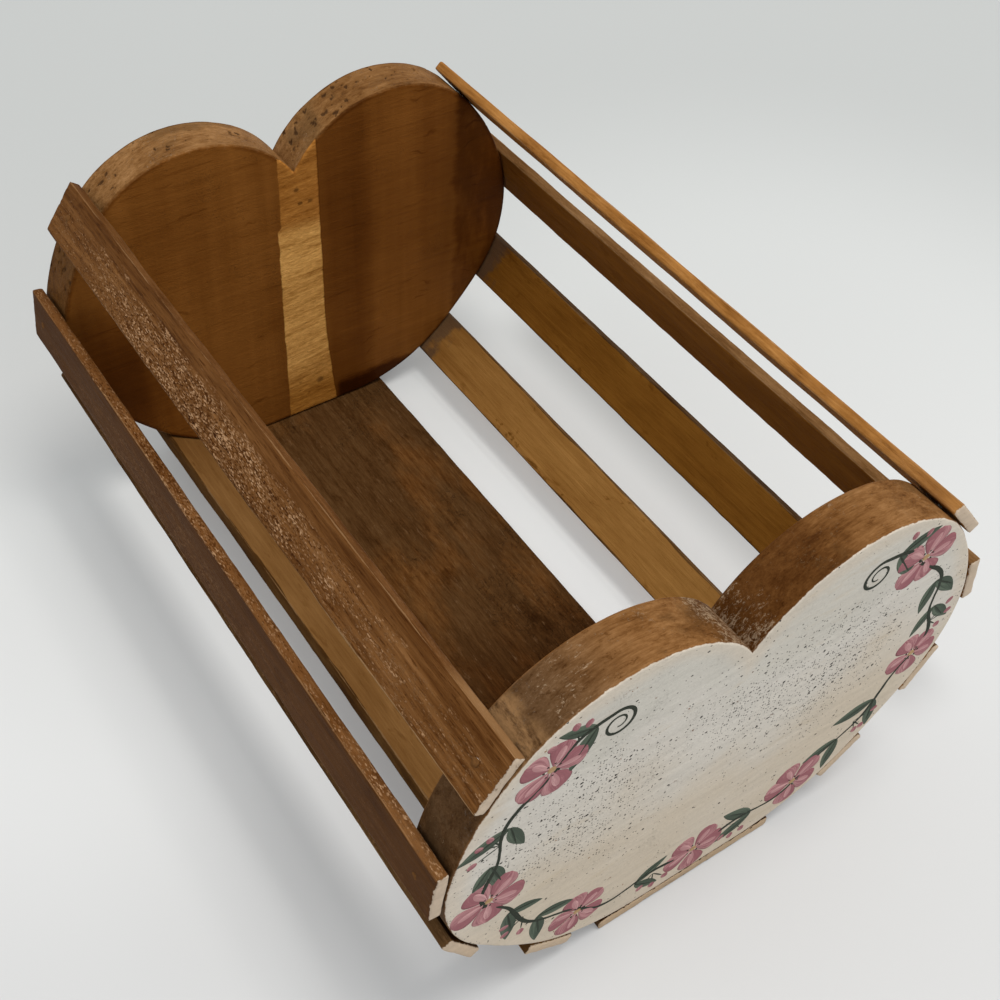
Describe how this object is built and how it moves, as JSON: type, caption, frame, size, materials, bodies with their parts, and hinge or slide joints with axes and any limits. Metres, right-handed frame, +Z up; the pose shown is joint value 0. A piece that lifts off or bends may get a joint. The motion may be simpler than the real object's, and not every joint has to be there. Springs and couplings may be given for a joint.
{
  "type": "basket planter",
  "caption": "Open wooden basket planter: heart-shaped end boards joined by a bottom board and spaced side slats, with a painted front heart.",
  "frame": {"origin": "on the ground under the middle of the bottom board", "axes": "+Z up; +Y from the painted front heart to the back heart, along the slats; +X to the right seen from the front"},
  "size_m": [0.215, 0.2902, 0.1556],
  "materials": {
    "painted_wood": "cream matt paint over stained wood, worn at the edges",
    "dark_wood": "dark brown stain, satin",
    "brown_wood": "brown stain, worn",
    "honey_wood": "honey brown stain, worn and rough",
    "nail_steel": "dull bright wire"
  },
  "bodies": {
    "root": {"front_heart": "painted_wood", "back_heart": "dark_wood", "bottom_board": "brown_wood", "right_slat_1": "honey_wood", "right_slat_2": "honey_wood", "right_slat_3": "honey_wood", "right_slat_4": "honey_wood", "left_slat_1": "honey_wood", "left_slat_2": "honey_wood", "left_slat_3": "honey_wood", "left_slat_4": "honey_wood", "right_brad_1_front": "nail_steel", "right_brad_1_back": "nail_steel", "right_brad_2_front": "nail_steel", "right_brad_2_back": "nail_steel", "right_brad_3_front": "nail_steel", "right_brad_3_back": "nail_steel", "right_brad_4_front": "nail_steel", "right_brad_4_back": "nail_steel", "left_brad_1_front": "nail_steel", "left_brad_1_back": "nail_steel", "left_brad_2_front": "nail_steel", "left_brad_2_back": "nail_steel", "left_brad_3_front": "nail_steel", "left_brad_3_back": "nail_steel", "left_brad_4_front": "nail_steel", "left_brad_4_back": "nail_steel", "board_nail_front_left": "nail_steel", "board_nail_front_right": "nail_steel", "board_nail_back_left": "nail_steel", "board_nail_back_right": "nail_steel"}
  },
  "joints": []
}
